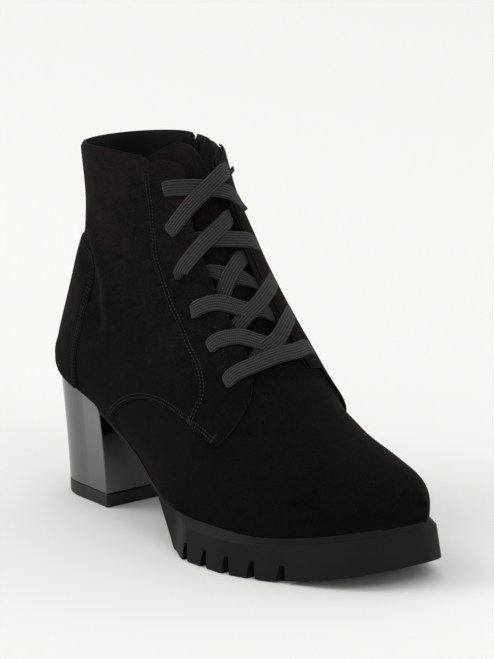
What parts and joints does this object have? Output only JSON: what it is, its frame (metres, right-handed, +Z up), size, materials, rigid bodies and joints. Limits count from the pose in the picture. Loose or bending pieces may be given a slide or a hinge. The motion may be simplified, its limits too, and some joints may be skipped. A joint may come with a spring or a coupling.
{
  "type": "lace-up ankle boot",
  "caption": "Right lace-up ankle boot with a hollow suede upper, flat laces, an inner side zip, a block heel and a lugged platform sole.",
  "frame": {"origin": "middle of the heel's bottom face, on the floor", "axes": "+X towards the toe, +Y towards the inner (medial) side of the foot, +Z up"},
  "size_m": [0.2552, 0.0922, 0.1846],
  "materials": {
    "suede": "matte napped",
    "sole_rubber": "matte",
    "heel_lacquer": "glossy",
    "lining": "matte",
    "lace": "matte woven",
    "zip_tape": "matte woven",
    "zip_metal": "satin"
  },
  "bodies": {
    "boot": {"upper": "suede", "tongue": "suede", "outsole": "sole_rubber", "heel_block": "heel_lacquer", "heel_top_piece": "sole_rubber", "insole": "lining", "lace_bar": "lace", "lace_cross_1": "lace", "lace_cross_2": "lace", "lace_cross_3": "lace", "lace_cross_4": "lace", "lace_cross_5": "lace", "zip_chain": "zip_tape", "zip_slider": "zip_metal"},
    "zip_pull": {"zip_pull": "zip_metal"}
  },
  "joints": [
    {"name": "pull_hinge", "type": "hinge", "parent": "boot", "child": "zip_pull", "pos_m": [0.03141, 0.03587, 0.165], "axis": [0.9975, -0.0709, 0], "range_deg": [0, 165]}
  ]
}
